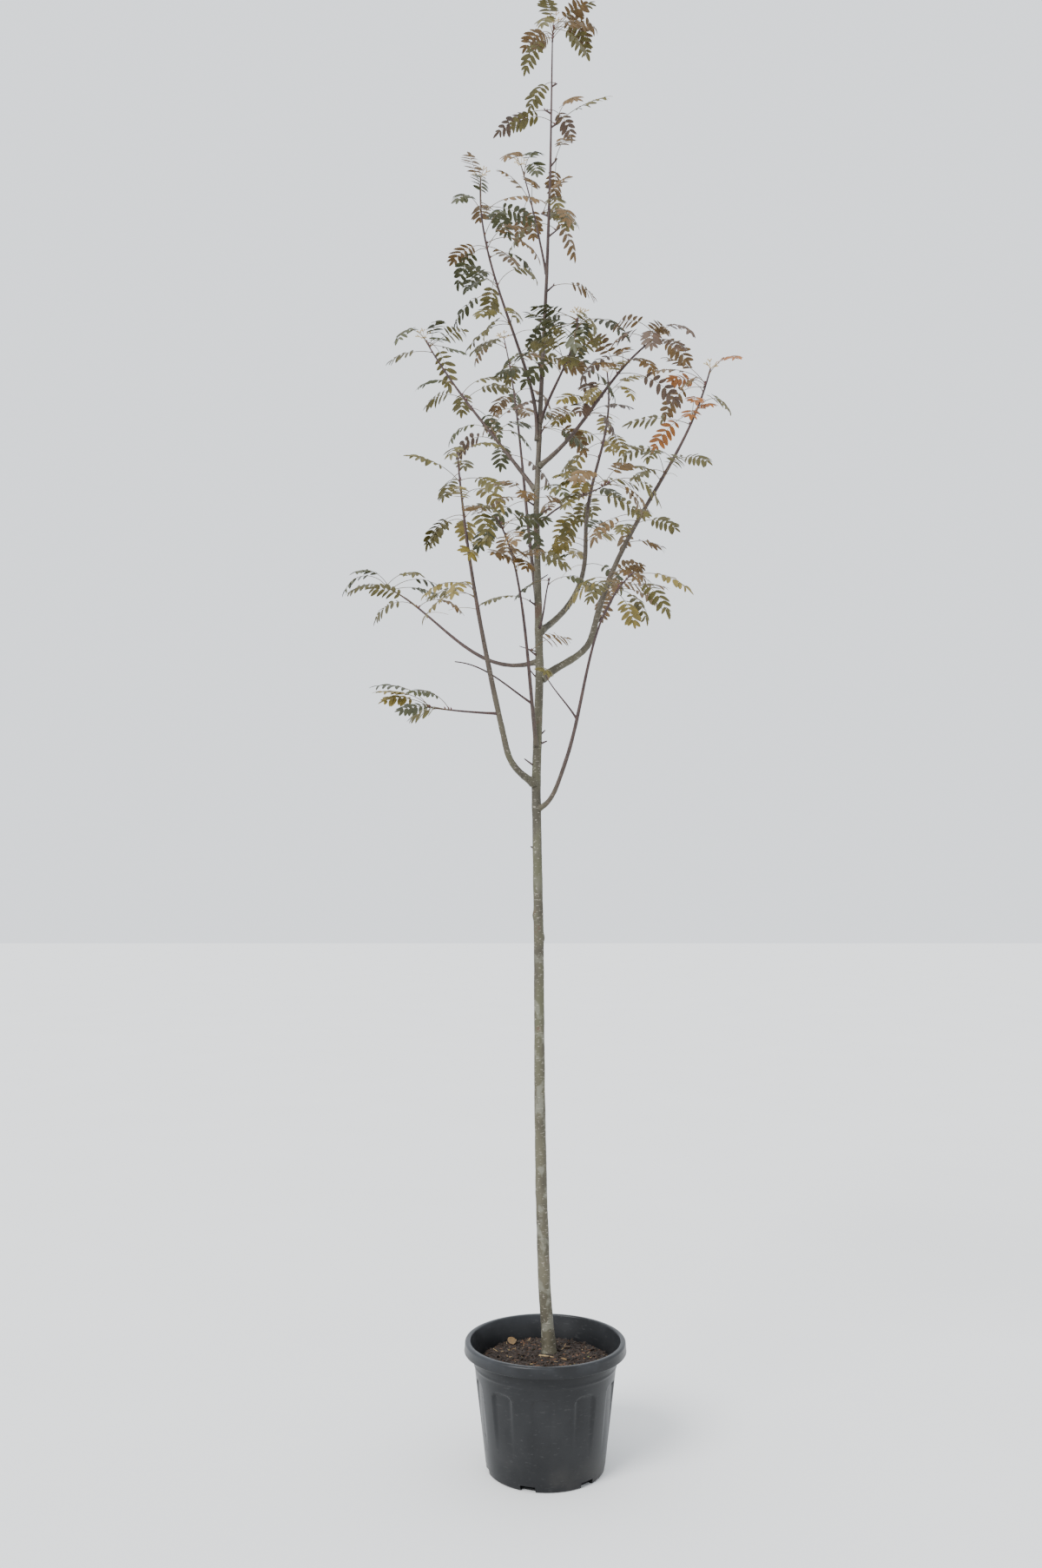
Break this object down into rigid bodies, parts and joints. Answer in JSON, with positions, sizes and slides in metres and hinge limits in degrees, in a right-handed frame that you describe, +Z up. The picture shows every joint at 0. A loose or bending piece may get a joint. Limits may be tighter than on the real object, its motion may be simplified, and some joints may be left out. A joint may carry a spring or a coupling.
{
  "type": "potted rowan tree",
  "caption": "Young rowan tree with a slim trunk and open crown of pinnate leaves, in a round black nursery pot that stands on its flat underside.",
  "frame": {"origin": "centre of the pot's flat underside", "axes": "+Z up along the tree, +X to the right of the front view, +Y away from the front"},
  "size_m": [1.1156, 0.9861, 3.9944],
  "materials": {
    "pot_plastic": "charcoal satin moulded plastic, scuffed",
    "potting_bark": "dark moist bark and peat, rough",
    "wood": "smooth grey-brown young bark with pale lenticels",
    "leaves": "matt autumn foliage, olive, bronze and dark green"
  },
  "bodies": {
    "root": {"front_bough": "wood", "front_leaves": "leaves", "front_side_bough": "wood", "front_side_leaves": "leaves", "front_top_bough": "wood", "front_top_leaves": "leaves", "front_twig_bough": "wood", "front_twig_leaves": "leaves", "inner_twig_leaves": "leaves", "leader_side_bough": "wood", "leader_side_leaves": "leaves", "left_high_bough": "wood", "left_high_leaves": "leaves", "left_low_bough": "wood", "left_low_leaves": "leaves", "left_low_side_bough": "wood", "left_low_side_leaves": "leaves", "left_mid_bough": "wood", "left_mid_leaves": "leaves", "pot": "pot_plastic", "potting_bark": "potting_bark", "rear_bough": "wood", "rear_leaves": "leaves", "right_high_bough": "wood", "right_high_leaves": "leaves", "right_low_bough": "wood", "right_low_leaves": "leaves", "right_low_side_bough": "wood", "right_low_side_leaves": "leaves", "right_mid_bough": "wood", "right_mid_leaves": "leaves", "right_mid_side_bough": "wood", "right_mid_side_leaves": "leaves", "right_top_bough": "wood", "right_top_leaves": "leaves", "second_leader_bough": "wood", "second_leader_leaves": "leaves", "trunk": "wood", "trunk_spur_10_leaves": "leaves", "trunk_spur_11_leaves": "leaves", "trunk_spur_12_leaves": "leaves", "trunk_spur_13_leaves": "leaves", "trunk_spur_14_leaves": "leaves", "trunk_spur_1_leaves": "leaves", "trunk_spur_2_leaves": "leaves", "trunk_spur_3_leaves": "leaves", "trunk_spur_4_leaves": "leaves", "trunk_spur_5_leaves": "leaves", "trunk_spur_6_leaves": "leaves", "trunk_spur_7_leaves": "leaves", "trunk_spur_8_leaves": "leaves", "trunk_spur_9_leaves": "leaves", "trunk_tip_leaves": "leaves"}
  },
  "joints": []
}
